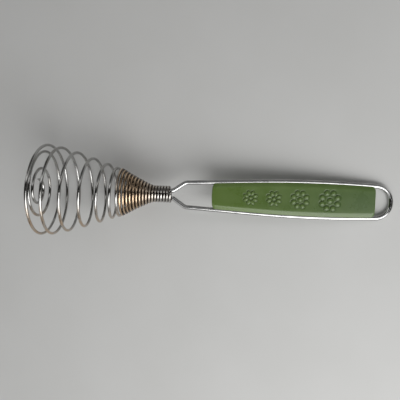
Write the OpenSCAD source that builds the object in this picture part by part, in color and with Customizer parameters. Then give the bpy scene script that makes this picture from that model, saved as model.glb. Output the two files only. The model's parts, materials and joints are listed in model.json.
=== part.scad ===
// Coil whisk: a sprung head of coiled wire on a bent wire handle, with a moulded grip clipped into it.
// It is drawn lying along X, head at X = 0 and handle loop at the far end, with the handle's two
// sides in the XY plane. Everything is then tipped so that the head and the loop end rest on Z = 0.

/* [Coil wire] */
// Thickness of the wire that the whole head is wound from
coil_wire_d = 2.0; // [1.6:0.1:2.4]
// Gap between neighbouring turns where the coil is wound tight
tight_gap = 0.1; // [0.05:0.05:0.3]
// Gap between one arc of the sprung coil and the next, where they hinge
hinge_gap = 0.02; // [0.01:0.01:0.05]
// The same gap at the two joints that tip the head up and down, where the wire itself bends
bend_gap = 0.07; // [0.05:0.01:0.12]

/* [Head] */
// Centre line radius of the ring at the very front
front_r = 32.4; // [27:0.2:39]
// Centre line radius where the tight cone opens into the sprung turns
mouth_r = 16.7; // [13.5:0.1:20]
// Length of the sprung turns, from the front ring to the tight cone
open_length = 56; // [46:1:68]
// How far the front ring stands back from the flat end spiral
ring_setback = 1.9; // [1:0.1:3]
// Radius of the last bend at the free end of the wire
spiral_end_r = 7.2; // [6:0.1:8]
// Half-turns in the tight cone
cone_half_turns = 22; // [16:2:26]
// Half-turns in the straight neck that grips the handle
neck_half_turns = 12; // [8:2:14]

/* [Handle wire] */
// Thickness of the handle wire
handle_wire_d = 3.2; // [2.6:0.1:3.9]
// Distance of each wire's centre from the middle plane inside the neck
neck_spread = 2.55; // [2.1:0.05:3]
// Play between the handle wires and the inside of the neck
neck_clearance = 0.05; // [0.02:0.01:0.1]
// Length of handle wire held inside the coiled neck
neck_grip = 11.5; // [9:0.5:14]
// Length of the handle from the end of the neck to the outside of the loop
handle_length = 156.5; // [131:0.5:188]
// Distance from the neck to the shoulder, where the wires stop spreading sharply
shoulder_at = 10.5; // [9:0.5:13]
// Half the width between the wires' centre lines at the shoulder
shoulder_w = 8.75; // [7.3:0.05:10.5]
// Distance from the neck to the widest point of the handle's bow
bow_at = 99.5; // [83:0.5:105]
// Half the width at the corner point of the bow, before it is rounded
bow_w = 13.4; // [12.6:0.1:16]
// Half the width at the corner point of the loop end, before it is rounded
loop_w = 10.8; // [9.2:0.1:12]
// Inside radius of the bends at the neck and the shoulder
shoulder_bend_r = 4; // [3:0.5:6]

/* [Grip] */
// Distance from the handle's shoulder to the near end of the grip
grip_from_shoulder = 19; // [16:0.5:23]
// Open length of the hanging loop, from the grip to the inside of the wire
hang_gap = 9.8; // [8:0.2:12]
// How far the grip's edges stop short of the wires' centre lines
edge_inset = 0.8; // [0.4:0.1:1]
// Thickness of the lips that close over the wire
lip_t = 0.5; // [0.3:0.1:0.8]
// Play between the wire and the groove that it lies in
groove_clearance = 0.1; // [0.05:0.05:0.2]
// Height of the bevel along the grip's edges
bevel_h = 1.0; // [0.6:0.1:1.5]
// Width of the bevel along the grip's edges
bevel_w = 2.5; // [1.8:0.1:3]
// Width of the small bevel across the grip's ends
end_bevel = 0.6; // [0.3:0.1:1]

/* [Flowers] */
// Radius of each flower, from the head to the loop
flower_r = [5.2, 5.4, 6.6, 7.6];
// Place of each flower, as a share of the grip's length
flower_at = [0.24, 0.384, 0.543, 0.725];
// Height of the petals above the grip
petal_h = 0.5; // [0.3:0.1:0.8]
// Petals on each flower
petals = 8; // [6:1:9]

/* [Hidden] */
$fn = 48;

// The sprung turns, counted in half-turns from the tight cone (0) to the front ring (12). Each
// half-turn crosses the middle plane Y = 0 at both ends, once above the axis and once below it.
open_half_turns = 12;
wire_r = coil_wire_d / 2;
handle_r = handle_wire_d / 2;
join_lap = 0.1;
join_step = 0.005;
tight_lead = (coil_wire_d + tight_gap) / 2;
neck_r = neck_spread + handle_r + neck_clearance + wire_r;

// Leads grow from the cone to the middle of the head and ease off again towards the front ring.
function lead_weight(k) = sin(180 * (k + 0.6) / 17);
function weight_sum(k) = k == 0 ? 0 : lead_weight(k) + weight_sum(k - 1);
function ease(u) = u * u * (3 - 2 * u);
function side(k) = k % 2 == 0 ? 1 : -1;
mouth_x = ring_setback + open_length;
function open_x(k) = mouth_x - open_length * weight_sum(k) / weight_sum(open_half_turns);
function open_r(k) = mouth_r + (front_r - mouth_r) * ease(k / open_half_turns);
open_points = [for (k = [0 : open_half_turns]) [open_x(k), side(k) * open_r(k)]];

// The tight cone sweeps in like a trumpet from the mouth to the neck.
trumpet = 1.15;
function cone_r(j) = neck_r + (mouth_r - neck_r) * pow(1 - j / cone_half_turns, trumpet);
cone_points = [for (j = [0 : cone_half_turns]) [mouth_x + j * tight_lead, side(j) * cone_r(j)]];
neck_x = mouth_x + cone_half_turns * tight_lead;
neck_points = [for (j = [0 : neck_half_turns]) [neck_x + j * tight_lead, side(j) * neck_r]];
neck_end = neck_x + neck_half_turns * tight_lead;

// The end spiral lies flat across the front: where it crosses Y = 0, as shares of the ring radius.
spiral_reach = [-0.972, 0.741, -0.389, 0.556, -0.015];
spiral_points = concat([open_points[open_half_turns]], [for (s = spiral_reach) [0, s * front_r]]);
spiral_last = spiral_points[len(spiral_points) - 1];
spiral_end_angle = 115;

// Half-turns that are cut again at their middle, for the joints that let the head sway.
lift_cuts = [5, 8];
side_cuts = [6, 7];
function is_cut(k) = len(search(k, concat(lift_cuts, side_cuts))) > 0;
function mid_gap(k) = len(search(k, lift_cuts)) > 0 ? bend_gap : hinge_gap;
// Each arc of the sprung coil: [half-turn, start angle, end angle]
arcs = [for (k = [1 : open_half_turns])
    each is_cut(k) ? [[k, 0, 90], [k, 90, 180]] : [[k, 0, 180]]];

// Corner points of one side of the handle wire. The loop end is two bends with a short flat between.
loop_x = neck_end + handle_length - handle_r;
handle_in = [neck_end - neck_grip, neck_spread];
handle_foot = [neck_end + 1.5, neck_spread];
shoulder = [neck_end + shoulder_at, shoulder_w];
bow = [neck_end + bow_at, bow_w];
loop_corner = [loop_x, loop_w];
function heading(a, b) = atan2(b[1] - a[1], b[0] - a[0]);
bow_turn = heading(shoulder, bow) - heading(bow, loop_corner);
loop_turn = heading(bow, loop_corner) + 90;
loop_flat = 1;
loop_r = (loop_w - loop_flat / 2) / tan(loop_turn / 2);
bow_reach = norm(loop_corner - bow) - loop_w - loop_flat;
bow_r = bow_reach / tan(bow_turn / 2);
bend_r = shoulder_bend_r + handle_r;

// The grip fills the frame between two stations, with a groove along each edge for the wire.
grip_from = shoulder[0] + grip_from_shoulder;
grip_to = loop_x - handle_r - hang_gap;
grip_l = grip_to - grip_from;
groove_r = handle_r + groove_clearance;
grip_t = 2 * (sqrt(groove_r * groove_r - edge_inset * edge_inset) + lip_t + bevel_h);
bow_start = bow - bow_reach * [cos(heading(shoulder, bow)), sin(heading(shoulder, bow))];
bow_centre = bow_start + bow_r * [sin(heading(shoulder, bow)), -cos(heading(shoulder, bow))];
function wire_y(x) = x < bow_start[0]
    ? bow_start[1] - (bow_start[0] - x) * tan(heading(shoulder, bow))
    : bow_centre[1] + sqrt(bow_r * bow_r - pow(x - bow_centre[0], 2));
edge_steps = 16;

// The whisk rests on the low side of its widest turn and on the loop end or the grip's end edge.
rest_ring = [open_points[11][0], open_r(11)];
grip_foot = [grip_to - end_bevel, grip_t / 2];
function tip(foot, height, foot_r) = let (run = foot[0] - rest_ring[0], rise = rest_ring[1] - height)
    atan2(rise, run) + asin((wire_r - foot_r) / norm([run, rise]));
tilt = min(tip(grip_foot, grip_foot[1], 0), tip([loop_x, 0], 0, handle_r));
lift = rest_ring[0] * sin(tilt) + rest_ring[1] * cos(tilt) + wire_r;
left_end = spiral_points[1][1] * sin(tilt) - wire_r;
right_end = loop_x * cos(tilt) + handle_r;

function arc_name(i) = str("coil_arc_", i < 10 ? "0" : "", i);

steel = [0.75, 0.76, 0.76];
tanned_steel = [0.49, 0.41, 0.33];
grip_green = [0.32, 0.39, 0.22];

// Lay the whisk down and centre it over the origin.
module lie() {
    translate([-(left_end + right_end) / 2, 0, lift]) rotate([0, tilt, 0]) children();
}

// One round arc of wire between two points of the plane Y = 0, bulging to +Y (bulge 1) or -Y.
// from and to are angles along it, and each end stops half a gap short, or runs past for a gap < 0.
module wire_arc(a, b, bulge, from, to, gap_from, gap_to, thick_r = wire_r) {
    r = norm(b - a) / 2;
    cut_from = asin(gap_from / 2 / r);
    cut_to = asin(gap_to / 2 / r);
    translate([(a[0] + b[0]) / 2, 0, (a[1] + b[1]) / 2])
        rotate([0, atan2(b[1] - a[1], a[0] - b[0]), 0])
            mirror([0, bulge < 0 ? 1 : 0, 0])
                rotate([0, 0, from + cut_from])
                    rotate_extrude(angle = to - from - cut_from - cut_to)
                        translate([r, 0]) circle(thick_r);
}

// A run of half-turns through points of the plane Y = 0, the first one bulging to first_bulge.
// Each runs a hair into the next, and every second one is a hair thinner, so that they join cleanly.
module winding(points, first_bulge) {
    for (i = [1 : len(points) - 1])
        wire_arc(points[i - 1], points[i], i % 2 == 1 ? first_bulge : -first_bulge, 0, 180,
            i == 1 ? 0 : -join_lap, -join_lap, i % 2 == 1 ? wire_r : wire_r - join_step);
}

// Arc number i of the sprung coil.
module coil_arc(i) {
    k = arcs[i - 1][0];
    from = arcs[i - 1][1];
    to = arcs[i - 1][2];
    color(steel) lie()
        wire_arc(open_points[k - 1], open_points[k], side(k), from, to,
            from == 0 ? hinge_gap : mid_gap(k), to == 180 ? hinge_gap : mid_gap(k));
}

// The flat spiral that closes the front and ends in one free end, cut square.
module coil_end_spiral() {
    color(steel) lie() {
        wire_arc(spiral_points[0], spiral_points[1], -1, 0, 180, hinge_gap, -join_lap, wire_r - join_step);
        winding([for (i = [1 : len(spiral_points) - 1]) spiral_points[i]], 1);
        wire_arc(spiral_last, spiral_last + [0, 2 * spiral_end_r], 1, 0, spiral_end_angle,
            -join_lap, 0);
    }
}

module coil_cone() {
    color(tanned_steel) lie() winding(cone_points, 1);
}

module coil_neck() {
    color(steel) lie() winding(neck_points, side(cone_half_turns));
}

// Sweep a flat outline along corner points in the XY plane, with a round bend at each inner corner.
// The outline's X points to the left of the direction of travel and its Y points up. The straight
// runs are a hair thinner and run a hair into the bends, so that they join cleanly.
module sweep(points, radii) {
    function turn_at(i) =
        (heading(points[i], points[i + 1]) - heading(points[i - 1], points[i]) + 540) % 360 - 180;
    function reach(i) = radii[i] == 0 ? 0 : radii[i] * tan(abs(turn_at(i)) / 2);
    for (i = [0 : len(points) - 2]) {
        way = heading(points[i], points[i + 1]);
        run = norm(points[i + 1] - points[i]) - reach(i) - reach(i + 1);
        if (run > join_lap)
            translate(points[i]) rotate([0, 0, way]) translate([reach(i) - join_lap, 0, 0])
                rotate([90, 0, 90]) linear_extrude(run + 2 * join_lap) scale(1 - join_step) children();
    }
    for (i = [1 : len(points) - 2]) {
        way = heading(points[i - 1], points[i]);
        turn = turn_at(i);
        translate(points[i]) rotate([0, 0, way]) translate([-reach(i), sign(turn) * radii[i], 0])
            rotate([0, 0, turn > 0 ? -90 : 90 + turn])
                rotate_extrude(angle = abs(turn), $fn = max(48, radii[i]))
                    translate([radii[i], 0]) mirror([turn > 0 ? 1 : 0, 0]) children();
    }
}

// One wire bent back on itself: both ends in the neck, shoulders, bowed sides and a round loop.
module handle_wire() {
    one_side = [handle_in, handle_foot, shoulder, bow, loop_corner];
    other_side = [for (i = [len(one_side) - 1 : -1 : 0]) [one_side[i][0], -one_side[i][1]]];
    color(steel) lie()
        sweep(concat(one_side, other_side),
            [0, bend_r, bend_r, bow_r, loop_r, loop_r, bow_r, bend_r, bend_r, 0])
            circle(handle_r, $fn = 48);
}

// Plan outline of the grip, drawn in by some distance at its sides and at its ends.
module grip_outline(side_in, end_in) {
    from = grip_from + end_in;
    step = (grip_l - 2 * end_in) / edge_steps;
    edge = [for (i = [0 : edge_steps]) let (x = from + i * step) [x, wire_y(x) - edge_inset - side_in]];
    polygon(concat(edge, [for (i = [edge_steps : -1 : 0]) [edge[i][0], -edge[i][1]]]));
}

// Flower raised from the face: rounded petals about a round centre.
module flower(r) {
    petal_r = 0.22 * r;
    sunk = 0.1;
    cap_r = (petal_r * petal_r + petal_h * petal_h) / (2 * petal_h);
    difference() {
        for (i = [0 : petals])
            rotate([0, 0, 360 * (i + 0.5) / petals])
                translate([i < petals ? r - petal_r : 0, 0, petal_h - cap_r]) sphere(cap_r);
        translate([0, 0, -2 * r - sunk]) cube(4 * r, center = true);
    }
}

module grip() {
    color(grip_green) lie() {
        difference() {
            hull() {
                linear_extrude(grip_t - 2 * bevel_h, center = true) grip_outline(0, 0);
                linear_extrude(grip_t, center = true) grip_outline(bevel_w, end_bevel);
            }
            for (hand = [0, 1]) mirror([0, hand, 0])
                sweep([shoulder, bow, loop_corner], [0, bow_r, 0]) circle(groove_r, $fn = 48);
        }
        for (i = [0 : len(flower_r) - 1])
            translate([grip_from + flower_at[i] * grip_l, 0, grip_t / 2]) flower(flower_r[i]);
    }
}

handle_wire();
grip();
coil_neck();
coil_cone();
for (i = [1 : len(arcs)])
    coil_arc(i);
coil_end_spiral();
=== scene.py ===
import json
from math import asin, atan2, cos, hypot, pi, radians, sin, sqrt, tan

import bmesh
import bpy
from mathutils import Matrix, Vector


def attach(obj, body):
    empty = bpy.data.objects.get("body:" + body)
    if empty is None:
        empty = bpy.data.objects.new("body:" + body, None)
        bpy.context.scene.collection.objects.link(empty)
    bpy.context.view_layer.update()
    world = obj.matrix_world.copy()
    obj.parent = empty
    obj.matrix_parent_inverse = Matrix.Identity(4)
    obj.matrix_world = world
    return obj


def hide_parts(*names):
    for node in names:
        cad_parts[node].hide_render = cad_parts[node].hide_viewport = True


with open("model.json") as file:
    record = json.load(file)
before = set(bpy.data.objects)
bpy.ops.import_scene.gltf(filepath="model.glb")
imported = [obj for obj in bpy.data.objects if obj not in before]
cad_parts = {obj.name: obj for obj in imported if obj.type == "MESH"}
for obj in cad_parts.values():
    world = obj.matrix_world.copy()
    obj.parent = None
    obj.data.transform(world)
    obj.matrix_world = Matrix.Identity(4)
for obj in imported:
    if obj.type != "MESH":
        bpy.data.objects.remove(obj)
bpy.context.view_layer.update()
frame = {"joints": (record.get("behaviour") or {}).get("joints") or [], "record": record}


# ------------------------------------------------------------------ Handle wire
# One 3.2 mm steel wire, bent back on itself into two bowed sides and a round hanging loop, then
# chromed. Its two ends lie side by side inside the neck of the coil, which is wound tight on them.

# The whisk is drawn along X with the front of its head at the origin and the handle's two sides
# level, and is then laid down so that its head and the loop end rest on the table.
mouth_from_front = 0.0579
mouth_r = 0.0167
joint_at = {joint["name"]: Vector(joint["pos_m"]) for joint in frame["joints"]}
mount = {m["name"]: m for m in frame["record"]["mounts"]}
down = Vector(mount["grip_back"]["axis"])
lie = Matrix(((-down.z, 0, -down.x), (0, 1, 0), (down.x, 0, -down.z))).to_4x4()
lie.translation = joint_at["coil_fold_00"] - lie @ Vector((mouth_from_front, 0, mouth_r))

tight_lead = 0.00105
cone_half_turns = 22
neck_half_turns = 12
neck_end = mouth_from_front + (cone_half_turns + neck_half_turns) * tight_lead
handle_r = 0.0016
loop_x = neck_end + 0.1565 - handle_r
loop_flat = 0.001
wire_side = [Vector((neck_end - 0.0115, 0.00255)), Vector((neck_end + 0.0015, 0.00255)),
    Vector((neck_end + 0.0105, 0.00875)), Vector((neck_end + 0.0995, 0.0134)), Vector((loop_x, 0.0108))]
shoulder, bow, loop_corner = wire_side[2:]
bow_heading = (bow - shoulder).normalized()
loop_heading = (loop_corner - bow).normalized()
bow_reach = (loop_corner - bow).length - loop_corner.y - loop_flat
bow_r = bow_reach / tan(abs(loop_heading.angle_signed(bow_heading)) / 2)
loop_turn = pi / 2 + atan2(loop_heading.y, loop_heading.x)
loop_r = (loop_corner.y - loop_flat / 2) / tan(loop_turn / 2)
neck_bend_r = 0.0056
handle_sides = 32


def cut_end(bm, centre, facing, radius, sides):
    """The flat cut end that a wire is drawn from. Returns its ring of edges."""
    turn = Vector((0, 0, 1)).rotation_difference(facing).to_matrix().to_4x4()
    disc = bmesh.ops.create_circle(bm, cap_ends=True, segments=sides, radius=radius,
        matrix=Matrix.Translation(centre) @ turn)
    return list({edge for vert in disc["verts"] for edge in vert.link_edges})


def ring_verts(ring):
    return list({vert for edge in ring for vert in edge.verts})


def draw(bm, ring, step):
    """Draw the wire straight on by a step."""
    made = bmesh.ops.extrude_edge_only(bm, edges=ring)["geom"]
    bmesh.ops.translate(bm, vec=step, verts=[g for g in made if isinstance(g, bmesh.types.BMVert)])
    return [g for g in made if isinstance(g, bmesh.types.BMEdge) and all(v in made for v in g.verts)]


def bend(bm, ring, centre, axis, angle, steps, lead=Vector((0, 0, 0))):
    """Bend the wire round a centre, and move it along by the lead as it goes round."""
    made = bmesh.ops.spin(bm, geom=ring, cent=centre, axis=axis, dvec=lead / steps, angle=angle,
        steps=steps, use_duplicate=False, use_merge=False, use_normal_flip=False)["geom_last"]
    return [g for g in made if isinstance(g, bmesh.types.BMEdge)]


def finish_piece(bm, name, material):
    """Lay the drawn piece down on the table and make it an object, smooth but for its cut ends."""
    bmesh.ops.transform(bm, matrix=lie, verts=bm.verts)
    bmesh.ops.recalc_face_normals(bm, faces=bm.faces)
    for face in bm.faces:
        face.smooth = len(face.verts) == 4
        if not face.smooth:
            for edge in face.edges:
                edge.smooth = False
    mesh = bpy.data.meshes.new(name)
    bm.to_mesh(mesh)
    bm.free()
    mesh.materials.append(material)
    piece = bpy.data.objects.new(name, mesh)
    bpy.context.scene.collection.objects.link(piece)
    return piece


def add(tree, kind, values=None, **settings):
    """Put a node in a material or a group, with its settings and its unlinked input values."""
    node = tree.nodes.new(kind)
    for name, value in settings.items():
        setattr(node, name, value)
    for name, value in (values or {}).items():
        node.inputs[name].default_value = value
    return node


def plate_wear_group():
    """Hazing, pits and fine draw marks in chrome plating that has been washed and handled for years."""
    group = bpy.data.node_groups.new("plate_wear", "ShaderNodeTree")
    group.interface.new_socket("Vector", in_out="INPUT", socket_type="NodeSocketVector")
    group.interface.new_socket("Haze", in_out="OUTPUT", socket_type="NodeSocketFloat")
    group.interface.new_socket("Height", in_out="OUTPUT", socket_type="NodeSocketFloat")
    put_in = add(group, "NodeGroupInput")
    put_out = add(group, "NodeGroupOutput")
    cloud = add(group, "ShaderNodeTexNoise", {"Scale": 110, "Detail": 5, "Roughness": 0.6})
    haze = add(group, "ShaderNodeMapRange", {"From Min": 0.42, "From Max": 0.66})
    speck = add(group, "ShaderNodeTexNoise", {"Scale": 1400, "Detail": 2, "Roughness": 0.5})
    pits = add(group, "ShaderNodeMapRange", {"From Min": 0.64, "From Max": 0.72})
    fine = add(group, "ShaderNodeTexNoise", {"Scale": 3200, "Detail": 3, "Roughness": 0.7})
    height = add(group, "ShaderNodeMath", operation="SUBTRACT")
    for texture in (cloud, speck, fine):
        group.links.new(put_in.outputs["Vector"], texture.inputs["Vector"])
    group.links.new(cloud.outputs["Fac"], haze.inputs["Value"])
    group.links.new(speck.outputs["Fac"], pits.inputs["Value"])
    group.links.new(fine.outputs["Fac"], height.inputs[0])
    group.links.new(pits.outputs["Result"], height.inputs[1])
    group.links.new(haze.outputs["Result"], put_out.inputs["Haze"])
    group.links.new(height.outputs["Value"], put_out.inputs["Height"])
    return group


plate_wear = plate_wear_group()
pit_depth = 0.00003


def mix_colour(tree, share, first, second):
    """Mix two colours, each a plain colour or another node's output, by a share."""
    node = add(tree, "ShaderNodeMix", data_type="RGBA")
    sockets = (node.inputs[0], node.inputs[6], node.inputs[7])
    for socket, value in zip(sockets, (share, first, second)):
        if isinstance(value, bpy.types.NodeSocket):
            tree.links.new(value, socket)
        else:
            socket.default_value = value if isinstance(value, (int, float)) else (*value, 1)
    return node.outputs[2]


def own_axes(tree):
    """Object coordinates turned back to the whisk's own axes: X from its front, Z from its middle."""
    place = add(tree, "ShaderNodeTexCoord")
    turned = add(tree, "ShaderNodeMapping", {"Location": lie.inverted().translation,
        "Rotation": lie.inverted().to_euler()})
    turned.name = "own axes"
    tree.links.new(place.outputs["Object"], turned.inputs["Vector"])
    return turned.outputs["Vector"]


def plated(name, bright, dull, smooth, rough):
    """Chromed wire: bright, smooth metal that hazes in patches to a duller, rougher one."""
    material = bpy.data.materials.new(name)
    material.use_nodes = True
    tree = material.node_tree
    shader = tree.nodes["Principled BSDF"]
    shader.inputs["Metallic"].default_value = 1
    place = own_axes(tree)
    wear = add(tree, "ShaderNodeGroup", node_tree=plate_wear)
    tree.links.new(place, wear.inputs["Vector"])
    colour = mix_colour(tree, wear.outputs["Haze"], bright, dull)
    rough_map = add(tree, "ShaderNodeMapRange", {"To Min": smooth, "To Max": rough})
    tree.links.new(wear.outputs["Haze"], rough_map.inputs["Value"])
    tree.links.new(rough_map.outputs["Result"], shader.inputs["Roughness"])
    bump = add(tree, "ShaderNodeBump", {"Strength": 0.35, "Distance": pit_depth})
    tree.links.new(wear.outputs["Height"], bump.inputs["Height"])
    tree.links.new(bump.outputs["Normal"], shader.inputs["Normal"])
    tree.links.new(colour, shader.inputs["Base Color"])
    return material


chrome = (0.55, 0.55, 0.54)
hazed_chrome = (0.42, 0.42, 0.42)
handle_chrome = plated("handle_chrome", chrome, hazed_chrome, smooth=0.09, rough=0.2)

bm = bmesh.new()
corners = wire_side + [Vector((p.x, -p.y)) for p in reversed(wire_side)]
bend_radii = [neck_bend_r, neck_bend_r, bow_r, loop_r, loop_r, bow_r, neck_bend_r, neck_bend_r]
bend_steps = [10, 10, 24, 28, 28, 24, 10, 10]
tip = corners[0]
ring = cut_end(bm, tip.to_3d(), Vector((1, 0, 0)), handle_r, handle_sides)
for i, (radius, steps) in enumerate(zip(bend_radii, bend_steps), start=1):
    into = (corners[i] - corners[i - 1]).normalized()
    out = (corners[i + 1] - corners[i]).normalized()
    turn = -into.angle_signed(out)
    bend_from = corners[i] - into * radius * tan(abs(turn) / 2)
    ring = draw(bm, ring, (bend_from - tip).to_3d())
    to_centre = Vector((-into.y, into.x)) * (radius if turn > 0 else -radius)
    ring = bend(bm, ring, (bend_from + to_centre).to_3d(), (0, 0, 1), turn, steps)
    tip = corners[i] + out * radius * tan(abs(turn) / 2)
ring = draw(bm, ring, (corners[-1] - tip).to_3d())
bmesh.ops.contextual_create(bm, geom=ring)
handle_wire = finish_piece(bm, "bent_handle_wire", handle_chrome)
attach(handle_wire, "handle")
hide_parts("handle_wire")


# ------------------------------------------------------------------ Grip
# One green moulding that clips between the handle's two sides, with a lip above and below a round
# groove along each edge. Four flowers of eight petals stand up from its face, larger to the loop.
grip_back = lie.inverted() @ Vector(mount["grip_back"]["pos_m"])
grip_l = 0.114
grip_from = grip_back.x - grip_l / 2
face_z = -grip_back.z
edge_inset = 0.0008
groove_r = 0.0017
bevel_h = 0.001
bevel_w = 0.0025
corner_r = 0.0026
bevel_ease = 0.0007
head_end_bow = 0.0007
bow_fades_in = 0.006
end_round = 0.0006
# Painted highlight, partly also wear: widths and strengths of the paler green along the face's rim, over
# its bevels and on the petal tops.
rim_highlight_w = 0.0005
bevel_sheen = 0.55
bevel_sheen_w = 0.0048
petal_cap_highlight = 0.55
petal_h = 0.0006
moat_depth = 0.00015
petals = 8
petal_w_share = 0.235
button_share = 0.24
# Each flower: how far along the grip, its radius, and how long its petals are for their width.
flowers = [(0.24, 0.0052, 1.45), (0.384, 0.0054, 1.4), (0.543, 0.0066, 1.15), (0.725, 0.0076, 1.05)]
side_rows = [0, 0.0001, 0.00035, 0.0009, 0.0015, 0.0021, 0.0023, 0.0025, 0.0027, 0.0029, 0.0032]
middle_rows = 56
end_columns = [0, 0.00003, 0.00012, 0.0003, 0.0005, 0.00075, 0.001, 0.0014, 0.0018]
middle_columns = 340
groove_steps = 8

bow_start = bow - bow_heading * bow_reach
bow_centre = bow_start + Vector((bow_heading.y, -bow_heading.x)) * bow_r


def wire_y(x):
    """Distance from the middle line to the centre of the handle wire beside the grip."""
    if x < bow_start.x:
        return bow_start.y - (bow_start.x - x) * bow_heading.y / bow_heading.x
    return bow_centre.y + sqrt(bow_r ** 2 - (x - bow_centre.x) ** 2)


def spread(rows, middle, width):
    """Places from 0 to a width: close rows at both edges and even ones between them."""
    gap = (width - 2 * rows[-1]) / middle
    return rows + [rows[-1] + gap * i for i in range(1, middle)] + [width - d for d in reversed(rows)]


def half_width(x):
    """Half the width of the grip's face at x, with its corners rounded in plan."""
    end = min(x - grip_from, grip_from + grip_l - x)
    rounding = corner_r - sqrt(corner_r ** 2 - (corner_r - end) ** 2) if end < corner_r else 0
    return wire_y(x) - edge_inset - rounding


def soft_slope(d, width, drop):
    """Drop at distance d from an edge that slopes over a width and eases into the flat face."""
    if d > width + bevel_ease:
        return 0
    if d > width - bevel_ease:
        return drop / width * (width + bevel_ease - d) ** 2 / (4 * bevel_ease)
    return drop * (1 - d / width)


def face_height(x, y):
    """Height of the moulded face above the middle plane, without its flowers."""
    side = half_width(x) - abs(y)
    end = max(min(x - grip_from, grip_from + grip_l - x), 0)
    round_over = 0
    if end < end_round:
        round_over = end_round - sqrt(max(end_round ** 2 - (end_round - end) ** 2, 0))
    return face_z - max(soft_slope(side, bevel_w, bevel_h), round_over)


def petal_rise(dx, dy, radius, stretch):
    """Rise of a flower at a point, how far up a petal or the button it is, and how deep in the moat."""
    petal_w = petal_w_share * radius
    petal_l = petal_w * stretch
    angle = atan2(dy, dx)
    step = 2 * pi / petals
    nearest = (round(angle / step - 0.5) + 0.5) * step
    away = Vector((dx, dy)).length
    out = away * cos(angle - nearest) - (radius - petal_l)
    across = away * sin(angle - nearest)
    rho = min(hypot(out / petal_l, across / petal_w), away / (button_share * radius))
    dome = (1 - rho ** 2) ** 0.6 if rho < 1 else 0
    moat = max(0, 1 - abs(rho - 1.1) / 0.3)
    return petal_h * dome - moat_depth * moat, dome, moat


head_end_green = (0.093, 0.15, 0.031)
loop_end_green = (0.051, 0.096, 0.02)
faded_green = (0.122, 0.182, 0.05)
# A paler green for painted highlight on the rim, bevels and petal tops, partly also wear.
worn_and_highlight_green = (0.2, 0.29, 0.09)
# A near-black green for painted shade in the moats round the petals.
moat_shade_green = (0.02, 0.04, 0.008)


def grip_plastic_material():
    """Olive green moulded plastic: satin and faintly mottled, with painted highlight (partly also wear) on
    its rim, bevels and petal tops, and painted shade in the hollows round the petals.
    """
    material = bpy.data.materials.new("grip_plastic")
    material.use_nodes = True
    tree = material.node_tree
    shader = tree.nodes["Principled BSDF"]
    place = add(tree, "ShaderNodeTexCoord")
    parts = add(tree, "ShaderNodeSeparateXYZ")
    tree.links.new(place.outputs["Object"], parts.inputs["Vector"])
    fade = add(tree, "ShaderNodeMapRange", {"From Min": 0.0, "From Max": 0.11})
    tree.links.new(parts.outputs["X"], fade.inputs["Value"])
    colour = mix_colour(tree, fade.outputs["Result"], head_end_green, loop_end_green)
    cloud = add(tree, "ShaderNodeTexNoise", {"Scale": 70, "Detail": 5, "Roughness": 0.6})
    cloud_share = add(tree, "ShaderNodeMapRange", {"From Min": 0.35, "From Max": 0.7, "To Max": 0.35})
    tree.links.new(place.outputs["Object"], cloud.inputs["Vector"])
    tree.links.new(cloud.outputs["Fac"], cloud_share.inputs["Value"])
    colour = mix_colour(tree, cloud_share.outputs["Result"], colour, faded_green)
    # Painted highlight, partly also wear: paler green on the rim, the bevels and the petal tops.
    highlight_attribute = add(tree, "ShaderNodeAttribute", attribute_name="wear_and_highlight")
    highlight_share = add(tree, "ShaderNodeMath", {1: 0.4}, operation="MULTIPLY")
    tree.links.new(highlight_attribute.outputs["Fac"], highlight_share.inputs[0])
    colour = mix_colour(tree, highlight_share.outputs["Value"], colour, worn_and_highlight_green)
    # Painted shade: darker green in the moat round each petal.
    moat_shade_attribute = add(tree, "ShaderNodeAttribute", attribute_name="moat_shade")
    moat_shade_share = add(tree, "ShaderNodeMath", {1: 0.55}, operation="MULTIPLY")
    tree.links.new(moat_shade_attribute.outputs["Fac"], moat_shade_share.inputs[0])
    colour = mix_colour(tree, moat_shade_share.outputs["Value"], colour, moat_shade_green)
    tree.links.new(colour, shader.inputs["Base Color"])
    rough = add(tree, "ShaderNodeMapRange",
        {"From Min": 0.3, "From Max": 0.7, "To Min": 0.24, "To Max": 0.38})
    tree.links.new(cloud.outputs["Fac"], rough.inputs["Value"])
    tree.links.new(rough.outputs["Result"], shader.inputs["Roughness"])
    grain = add(tree, "ShaderNodeTexNoise", {"Scale": 1800, "Detail": 3, "Roughness": 0.6})
    bump = add(tree, "ShaderNodeBump", {"Strength": 0.25, "Distance": 0.00005})
    tree.links.new(place.outputs["Object"], grain.inputs["Vector"])
    tree.links.new(grain.outputs["Fac"], bump.inputs["Height"])
    tree.links.new(bump.outputs["Normal"], shader.inputs["Normal"])
    return material


bm = bmesh.new()
columns = spread(end_columns, middle_columns, grip_l)
along_count = len(columns) - 1
across_count = len(side_rows) * 2 + middle_rows - 2
bmesh.ops.create_grid(bm, x_segments=along_count, y_segments=across_count, size=0.5)
wear_and_highlight = bm.verts.layers.float.new("wear_and_highlight")
moat_shade = bm.verts.layers.float.new("moat_shade")
halves = [half_width(grip_from + place) for place in columns]
rows_at = [spread(side_rows, middle_rows, 2 * half) for half in halves]
for vert in bm.verts:
    column = round((vert.co.x + 0.5) * along_count)
    row = round((vert.co.y + 0.5) * across_count)
    vert.co = Vector((grip_from + columns[column], rows_at[column][row] - halves[column], 0))
    vert.co.z = face_height(vert.co.x, vert.co.y)
    from_side = halves[column] - abs(vert.co.y)
    from_edge = min(from_side, columns[column], grip_l - columns[column])
    # Painted highlight, partly also wear: paler towards the face's rim and over its bevels.
    vert[wear_and_highlight] = max(0, 1 - from_edge / rim_highlight_w, bevel_sheen * (1 - from_side / bevel_sheen_w))
face_verts = list(bm.verts)
ring = [edge for edge in bm.edges if edge.is_boundary]
lip_z = sqrt(groove_r ** 2 - edge_inset ** 2)
groove_angle = asin(lip_z / groove_r)
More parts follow.
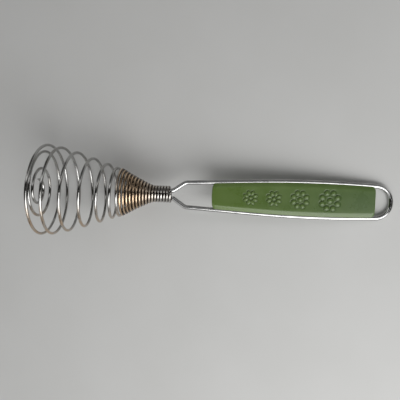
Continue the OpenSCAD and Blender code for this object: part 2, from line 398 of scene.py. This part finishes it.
levels = [(lip_z, edge_inset)] + [(groove_r * sin(a), groove_r * cos(a)) for a in
    [groove_angle * (1 - i / groove_steps) for i in range(1, groove_steps + 1)]]
for z, inset in levels:
    made = bmesh.ops.extrude_edge_only(bm, edges=ring)["geom"]
    wall = [g for g in made if isinstance(g, bmesh.types.BMVert)]
    for vert in wall:
        if z != lip_z:
            vert.co.y *= min(1, (wire_y(vert.co.x) - inset) / half_width(vert.co.x))
        vert.co.z = z
    ring = [g for g in made if isinstance(g, bmesh.types.BMEdge) and all(v in wall for v in g.verts)]
bmesh.ops.mirror(bm, geom=bm.verts[:] + bm.edges[:] + bm.faces[:], matrix=Matrix(),
    merge_dist=1e-6, axis="Z")
for vert in face_verts:
    for share, radius, stretch in flowers:
        dx = vert.co.x - grip_from - share * grip_l
        if hypot(dx, vert.co.y) < 1.2 * radius:
            rise, dome, moat = petal_rise(dx, vert.co.y, radius, stretch)
            vert.co.z += rise
            # Painted highlight on the petal tops.
            vert[wear_and_highlight] = max(vert[wear_and_highlight], petal_cap_highlight * dome ** 3)
            # Painted shade in the moat round each petal.
            vert[moat_shade] = moat
for vert in bm.verts:
    back = min(1, max(0, 1 - (vert.co.x - grip_from) / bow_fades_in))
    vert.co.x += head_end_bow * back * (vert.co.y / half_width(grip_from + bow_fades_in / 2)) ** 2
grip = finish_piece(bm, "flower_grip", grip_plastic_material())
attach(grip, "handle")
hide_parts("grip")


# ------------------------------------------------------------------ Neck and tight cone
# The coil is one thinner chromed wire. It starts here, wound tight round the handle's two ends, and
# opens out turn by turn into a trumpet. Heat and wear have tanned the trumpet's plating brown.
coil_r = 0.001
coil_sides = 24
neck_r = 0.0052
trumpet = 1.15
cone_steps = 30
neck_steps = 20


def winding_radius(j):
    """Radius of the coil's centre line, j half-turns along from the mouth towards the neck's end."""
    left = max(0, 1 - j / cone_half_turns)
    return neck_r + (mouth_r - neck_r) * left ** trumpet


def mark_groove(bm, ring, side_axis):
    """Mark the wire's flanks, which face its neighbours, so that painted shade can darken them."""
    groove = bm.verts.layers.float.get("groove") or bm.verts.layers.float.new("groove")
    verts = ring_verts(ring)
    middle = sum((v.co for v in verts), Vector()) / len(verts)
    for vert in verts:
        vert[groove] = abs((vert.co - middle).dot(side_axis)) / coil_r


light_tan = (0.86, 0.69, 0.5)
dark_tan = (0.42, 0.25, 0.13)
# Near-black brown for painted shade between the turns.
groove_shade_brown = (0.04, 0.022, 0.01)


def tanned(material, stain_of):
    """Mix a brown tan, and painted shade in the grooves between turns, into a plated wire's colour."""
    tree = material.node_tree
    shader = tree.nodes["Principled BSDF"]
    colour = shader.inputs["Base Color"].links[0].from_socket
    place = tree.nodes["own axes"].outputs["Vector"]
    parts = add(tree, "ShaderNodeSeparateXYZ")
    tree.links.new(place, parts.inputs["Vector"])
    patch = add(tree, "ShaderNodeTexNoise", {"Scale": 230, "Detail": 4, "Roughness": 0.65})
    tree.links.new(place, patch.inputs["Vector"])
    stain = stain_of(tree, parts, patch)
    colour = mix_colour(tree, stain, colour, mix_colour(tree, patch.outputs["Fac"], light_tan, dark_tan))
    # Painted shade on the wire's flanks, where neighbouring turns shade one another.
    flank = add(tree, "ShaderNodeAttribute", attribute_name="groove")
    groove_shade = share_between(tree, flank.outputs["Fac"], 0.42, 0.76)
    colour = mix_colour(tree, groove_shade, colour, groove_shade_brown)
    tree.links.new(colour, shader.inputs["Base Color"])
    return material


def share_between(tree, value, low, high):
    """0 where a value is under low, 1 where it is over high, and even steps between."""
    node = add(tree, "ShaderNodeMapRange", {"From Min": low, "From Max": high})
    tree.links.new(value, node.inputs["Value"])
    return node.outputs["Result"]


def multiplied(tree, first, second):
    node = add(tree, "ShaderNodeMath", operation="MULTIPLY")
    for socket, value in zip(node.inputs, (first, second)):
        if isinstance(value, bpy.types.NodeSocket):
            tree.links.new(value, socket)
        else:
            socket.default_value = value
    return node.outputs["Value"]


tan_from = mouth_from_front + 0.0011
tan_thins = mouth_from_front + 0.012
tan_gone = neck_end - 0.008


def cone_stain(tree, parts, patch):
    """The tan sets in over the first half-turn of the cone and thins out towards the neck."""
    mouth = share_between(tree, parts.outputs["X"], tan_from - 0.0014, tan_from)
    return multiplied(tree, mouth, neck_stain(tree, parts, patch))


def neck_stain(tree, parts, patch):
    """What is left of the tan where the cone runs into the neck."""
    return share_between(tree, parts.outputs["X"], tan_gone, tan_thins)


def side_of(j):
    """Which side of the axis the wire crosses on after j half-turns."""
    return 1 if j % 2 == 0 else -1


def wind(bm, ring, first, last, steps):
    """Wind the wire on from one half-turn count to another, from the mouth towards the neck."""
    for j in range(first, last):
        middle_z = side_of(j) * (winding_radius(j) - winding_radius(j + 1)) / 2
        ring = bend(bm, ring, Vector((0, 0, middle_z)), (1, 0, 0), -pi, steps, Vector((tight_lead, 0, 0)))
    return ring


def wind_piece(name, first, last, steps, material):
    bm = bmesh.new()
    start_x = mouth_from_front + first * tight_lead
    start = Vector((start_x, 0, side_of(first) * winding_radius(first)))
    ring = cut_end(bm, start, Vector((0, 1, 0)), coil_r, coil_sides)
    mark_groove(bm, ring, Vector((1, 0, 0)))
    ring = wind(bm, ring, first, last, steps)
    bmesh.ops.contextual_create(bm, geom=ring)
    return finish_piece(bm, name, material)


warm_chrome = (0.7, 0.68, 0.64)
hazed_warm_chrome = (0.56, 0.53, 0.48)
cone_metal = plated("tanned_wire", warm_chrome, hazed_warm_chrome, smooth=0.25, rough=0.36)
cone_metal = tanned(cone_metal, cone_stain)
cone = wind_piece("tight_cone", 0, cone_half_turns, cone_steps, cone_metal)
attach(cone, "handle")
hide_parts("coil_cone")

dull_chrome = (0.56, 0.54, 0.51)
hazed_dull_chrome = (0.38, 0.36, 0.33)
neck_metal = plated("neck_chrome", dull_chrome, hazed_dull_chrome, smooth=0.16, rough=0.28)
neck_metal = tanned(neck_metal, neck_stain)
neck = wind_piece("wound_neck", cone_half_turns, cone_half_turns + neck_half_turns, neck_steps, neck_metal)
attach(neck, "handle")
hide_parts("coil_neck")


# ------------------------------------------------------------------ Sprung turns
# The same wire runs on in six wide, open turns that grow towards the front and take up the pumping
# stroke. Each stretch between two flexing points is its own piece, with a ball end inside the next.
hinge_order = [f"coil_fold_{k:02d}" for k in range(13)]
hinge_order[6] = "head_press"
crossings = [lie.inverted() @ joint_at[name] for name in hinge_order]
halved_turns = {5, 6, 7, 8}
open_steps = 44
dome_steps = 5


def ball_end(bm, ring, facing, radius):
    """Close the wire with half a ball, so that it stays whole where it flexes at a joint."""
    for edge in ring:
        edge.smooth = False
    for i in range(1, dome_steps):
        before, after = pi / 2 * (i - 1) / dome_steps, pi / 2 * i / dome_steps
        verts = ring_verts(ring)
        middle = sum((v.co for v in verts), Vector()) / len(verts)
        step = facing * radius * (sin(after) - sin(before))
        ring = draw(bm, ring, step)
        bmesh.ops.scale(bm, vec=Vector((1, 1, 1)) * (cos(after) / cos(before)),
            space=Matrix.Translation(-middle - step), verts=ring_verts(ring))
    bmesh.ops.contextual_create(bm, geom=ring)


def open_ring(bm, centre, facing):
    """A ring of wire with no disc across it, for a piece whose first end gets a ball."""
    ring = cut_end(bm, centre, facing, coil_r, coil_sides)
    discs = list({face for edge in ring for face in edge.link_faces})
    bmesh.ops.delete(bm, geom=discs, context="FACES_ONLY")
    return ring


def coil_stain(tree, parts, patch):
    """Tan on the lower-lying side of the upper strands, and a little more near the cone."""
    low_side = share_between(tree, parts.outputs["Y"], -0.008, -0.02)
    upper = share_between(tree, parts.outputs["Z"], -0.012, 0.006)
    uneven = share_between(tree, patch.outputs["Fac"], 0.3, 0.55)
    return multiplied(tree, multiplied(tree, low_side, upper), multiplied(tree, uneven, 0.75))


worn_chrome = (0.46, 0.46, 0.45)
hazed_worn_chrome = (0.34, 0.33, 0.31)
coil_chrome = plated("coil_chrome", worn_chrome, hazed_worn_chrome, smooth=0.1, rough=0.2)
coil_chrome = tanned(coil_chrome, coil_stain)
number = 0
for k in range(1, len(crossings)):
    start, stop = crossings[k - 1], crossings[k]
    centre = Vector((start.x, 0, (start.z + stop.z) / 2))
    stretches = 2 if k in halved_turns else 1
    lead = Vector((stop.x - start.x, 0, 0)) / stretches
    angle = pi / stretches
    for done in range(stretches):
        number += 1
        turned = Matrix.Rotation(angle * done, 4, "X")
        bm = bmesh.new()
        begin = centre + turned @ (start - centre) + lead * done
        facing = turned @ Vector((0, -1 if start.z > 0 else 1, 0))
        first_ring = open_ring(bm, begin, facing)
        last_ring = bend(bm, first_ring, centre + lead * done, (1, 0, 0), angle,
            open_steps // stretches, lead)
        ball_end(bm, first_ring, -facing, coil_r)
        ball_end(bm, last_ring, Matrix.Rotation(angle, 4, "X") @ facing, coil_r)
        arc = finish_piece(bm, f"sprung_arc_{number:02d}", coil_chrome)
        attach(arc, f"coil_arc_{number:02d}")
        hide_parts(f"coil_arc_{number:02d}")


# ------------------------------------------------------------------ End spiral
# The last stretch of wire winds inwards, flat across the front, to keep the head from pulling open,
# and ends in one hooked free end that is cut square.
front_ring = crossings[-1]
spiral_crossings = [front_ring.z * share for share in (-0.972, 0.741, -0.389, 0.556, -0.015)]
hook_r = 0.0072
hook_angle = radians(115)
spiral_steps = 40

bm = bmesh.new()
first_ring = open_ring(bm, front_ring, Vector((0, -1, 0)))
ring = first_ring
here = front_ring
for z in spiral_crossings:
    centre = Vector((0, 0, (here.z + z) / 2))
    ring = bend(bm, ring, centre, (1, 0, 0), pi, spiral_steps, Vector((-here.x, 0, 0)))
    here = Vector((0, 0, z))
ring = bend(bm, ring, here + Vector((0, 0, hook_r)), (1, 0, 0), hook_angle, spiral_steps // 2)
bmesh.ops.contextual_create(bm, geom=ring)
ball_end(bm, first_ring, Vector((0, 1, 0)), coil_r)
end_spiral = finish_piece(bm, "end_spiral", coil_chrome)
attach(end_spiral, "coil_end")
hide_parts("coil_end_spiral")


# ------------------------------------------------------------------ Table, light and camera
# A plain pale table with a plain pale backdrop, and a soft window light from the near right corner.
# The chromed wire mirrors a pale room with a dark ceiling, which it needs to show its form.
table_half_w = 3
pale_table = (0.56, 0.56, 0.545)
paler_table = (0.62, 0.62, 0.61)
backdrop = (0.45, 0.45, 0.445)


def table_material():
    material = bpy.data.materials.new("pale_table")
    material.use_nodes = True
    tree = material.node_tree
    shader = tree.nodes["Principled BSDF"]
    shader.inputs["Roughness"].default_value = 0.9
    shader.inputs["Specular IOR Level"].default_value = 0.2
    place = add(tree, "ShaderNodeTexCoord")
    cloud = add(tree, "ShaderNodeTexNoise", {"Scale": 14, "Detail": 3})
    tree.links.new(place.outputs["Object"], cloud.inputs["Vector"])
    colour = mix_colour(tree, cloud.outputs["Fac"], pale_table, paler_table)
    tree.links.new(colour, shader.inputs["Base Color"])
    return material


bm = bmesh.new()
bmesh.ops.create_grid(bm, x_segments=8, y_segments=8, size=table_half_w)
table_mesh = bpy.data.meshes.new("table")
bm.to_mesh(table_mesh)
bm.free()
table_mesh.materials.append(table_material())
table = bpy.data.objects.new("table", table_mesh)
bpy.context.scene.collection.objects.link(table)

world = bpy.data.worlds.new("pale_room")
bpy.context.scene.world = world
world.use_nodes = True
tree = world.node_tree
way = add(tree, "ShaderNodeTexCoord")
parts = add(tree, "ShaderNodeSeparateXYZ")
tree.links.new(way.outputs["Generated"], parts.inputs["Vector"])
across = add(tree, "ShaderNodeMapRange", {"From Min": -1, "From Max": 1})
tree.links.new(parts.outputs["Y"], across.inputs["Value"])
room = add(tree, "ShaderNodeValToRGB")
tree.links.new(across.outputs["Result"], room.inputs["Fac"])
# How bright the room is, by how far a direction points away from the window side.
room_light = [(-1, 0.25), (-0.86, 0.3), (-0.72, 0.76), (-0.42, 0.8), (-0.33, 0.02),
    (0.27, 0.02), (0.35, 0.88), (0.48, 0.82), (0.58, 0.12), (1, 0.08)]
room.color_ramp.elements[0].position = 0
room.color_ramp.elements[1].position = 1
for way_across, level in room_light:
    place_on_ramp = (way_across + 1) / 2
    if 0 < place_on_ramp < 1:
        stop = room.color_ramp.elements.new(place_on_ramp)
    else:
        stop = room.color_ramp.elements[0 if place_on_ramp == 0 else -1]
    stop.color = (level, level, level, 1)
ray = add(tree, "ShaderNodeLightPath")
tree.links.new(mix_colour(tree, ray.outputs["Is Camera Ray"], room.outputs["Color"], backdrop),
    tree.nodes["Background"].inputs["Color"])

lamp = bpy.data.lights.new("window", "AREA")
lamp.size = 0.66
lamp.energy = 4.9
lamp_object = bpy.data.objects.new("window", lamp)
lamp_object.location = (0.36, -0.42, 0.49)
lamp_object.rotation_euler = lamp_object.location.to_track_quat("Z", "Y").to_euler()
bpy.context.scene.collection.objects.link(lamp_object)

lens = bpy.data.cameras.new("camera")
lens.sensor_width = 36
lens.lens = 38.7
camera = bpy.data.objects.new("camera", lens)
nod = Matrix.Rotation(radians(-3.47), 4, "X")
lean = Matrix.Rotation(radians(2.78), 4, "Y")
roll = Matrix.Rotation(radians(2.27), 4, "Z")
camera.matrix_world = lie @ nod @ lean @ roll @ Matrix.Translation((0.1144, -0.0078, 0.3135))
bpy.context.scene.collection.objects.link(camera)
bpy.context.scene.camera = camera
bpy.context.scene.view_settings.view_transform = "Standard"
